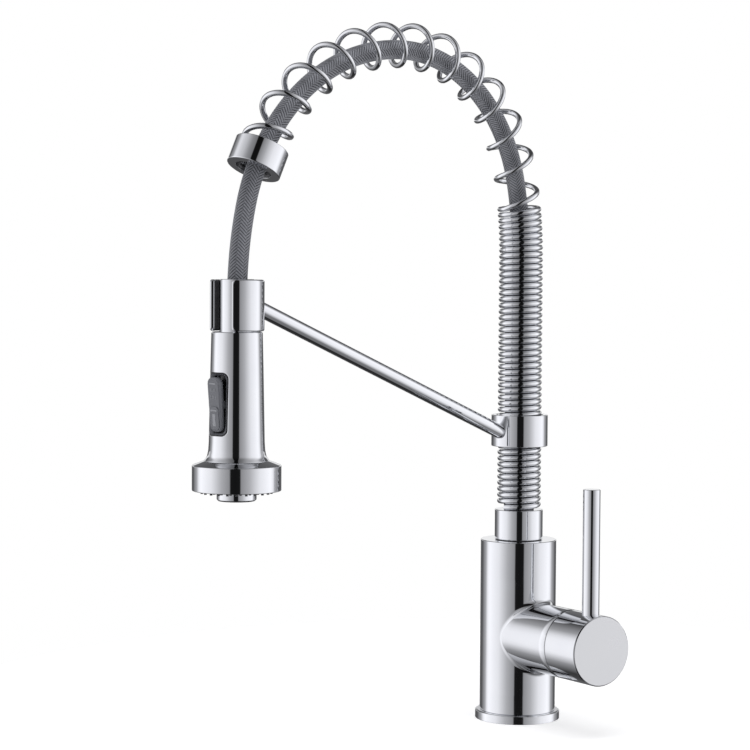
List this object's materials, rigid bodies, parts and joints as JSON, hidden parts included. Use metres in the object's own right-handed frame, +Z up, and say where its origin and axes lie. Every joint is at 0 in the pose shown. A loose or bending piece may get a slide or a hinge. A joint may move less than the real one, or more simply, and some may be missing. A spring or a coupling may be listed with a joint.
{
  "type": "pull down kitchen faucet",
  "caption": "Spring-arch kitchen sink faucet: lever mixer body, coiled riser, braided hose over the arch and a pull-down spray head held by a clip arm",
  "frame": {"origin": "centre of the deck seat: on the riser and valve body axis, in the plane where the base flange meets the worktop", "axes": "+Z up along the riser; the spout and spray head reach out along -Y; the side neck and lever hub point along +X, turned 8.2 degrees towards -Y; +Y is behind the faucet"},
  "size_m": [0.1193, 0.2939, 0.4558],
  "materials": {
    "chrome": "polished",
    "brass": "machined",
    "steel": "plain",
    "ceramic": "lapped ceramic",
    "rubber": "matt",
    "grey_plastic": "satin",
    "black_plastic": "satin",
    "white_plastic": "moulded",
    "braid": "braided grey sleeve"
  },
  "bodies": {
    "valve": {"base_gasket": "rubber", "base_flange": "chrome", "valve_body": "chrome", "cartridge_housing": "white_plastic", "cartridge_seals": "rubber", "fixed_disc": "ceramic", "cartridge_nut": "brass", "bonnet_ring": "chrome"},
    "temperature_drum": {"cartridge_carrier": "white_plastic", "stem_pin": "steel"},
    "flow_disc": {"moving_disc": "ceramic"},
    "handle": {"lever_stem": "steel", "handle_hub": "chrome", "lever_rod": "chrome", "hub_set_screw": "steel", "index_plug": "black_plastic"},
    "spout": {"swivel_spigot": "brass", "spigot_o_rings": "rubber", "swivel_washer": "black_plastic", "swivel_clip": "steel", "riser_ferrule": "chrome", "riser_pipe": "brass", "pipe_top_bush": "black_plastic", "riser_coil": "chrome", "arch_spring": "chrome", "spring_collar": "chrome", "collar_bush": "black_plastic", "arm_collar": "chrome", "collar_liner": "black_plastic", "arm_set_screw": "steel", "arm_rod": "chrome", "holder_clip": "chrome", "clip_liner": "black_plastic", "spray_hose": "braid", "hose_lower_nut": "brass", "hose_lower_washer": "rubber"},
    "hose_end": {"hose_upper_nut": "brass", "hose_upper_washer": "rubber"},
    "spray_head": {"head_neck": "chrome", "check_valve": "brass", "neck_snap_ring": "steel", "head_body": "chrome", "head_core": "white_plastic", "bell_ring": "chrome", "spray_chamber": "white_plastic", "spray_face": "black_plastic", "spray_nozzles": "rubber", "aerator_shell": "chrome", "aerator_insert": "white_plastic", "aerator_washer": "rubber", "rocker_frame": "black_plastic", "rocker_pin": "steel"},
    "rocker_switch": {"rocker": "grey_plastic"},
    "diverter": {"diverter_spool": "steel", "spool_o_rings": "rubber"}
  },
  "joints": [
    {"name": "spout_swivel", "type": "hinge", "parent": "valve", "child": "spout", "pos_m": [0, 0, 0.12], "axis": [0, 0, 1], "continuous": true},
    {"name": "handle_temperature", "type": "hinge", "parent": "valve", "child": "temperature_drum", "pos_m": [0, 0, 0.0571], "axis": [0.9898, -0.1426, 0], "range_deg": [-45, 45]},
    {"name": "handle_flow", "type": "hinge", "parent": "temperature_drum", "child": "handle", "pos_m": [0.0386, -0.00556, 0.0571], "axis": [0.1426, 0.9898, 0], "range_deg": [0, 18]},
    {"name": "disc_slide", "type": "slide", "parent": "temperature_drum", "child": "flow_disc", "axis": [0, 0, 1], "range_m": [0, 0.0047]},
    {"name": "head_pull", "type": "slide", "parent": "spout", "child": "hose_end", "axis": [0, 0, -1], "range_m": [0, 0.15], "deforming": ["spray_hose"]},
    {"name": "head_spin", "type": "hinge", "parent": "hose_end", "child": "spray_head", "pos_m": [0, -0.239, 0.28], "axis": [0, 0, 1], "continuous": true},
    {"name": "mode_rocker", "type": "hinge", "parent": "spray_head", "child": "rocker_switch", "pos_m": [0, -0.2506, 0.21943], "axis": [-1, 0, 0], "range_deg": [0, 7]},
    {"name": "spool_slide", "type": "slide", "parent": "spray_head", "child": "diverter", "axis": [0, 1, 0], "range_m": [0, 0.0015]}
  ],
  "couplings": [
    {"joint": "disc_slide", "follows": "handle_flow", "m_per_rad": 0.0148},
    {"joint": "spool_slide", "follows": "mode_rocker", "m_per_rad": 0.0115}
  ]
}
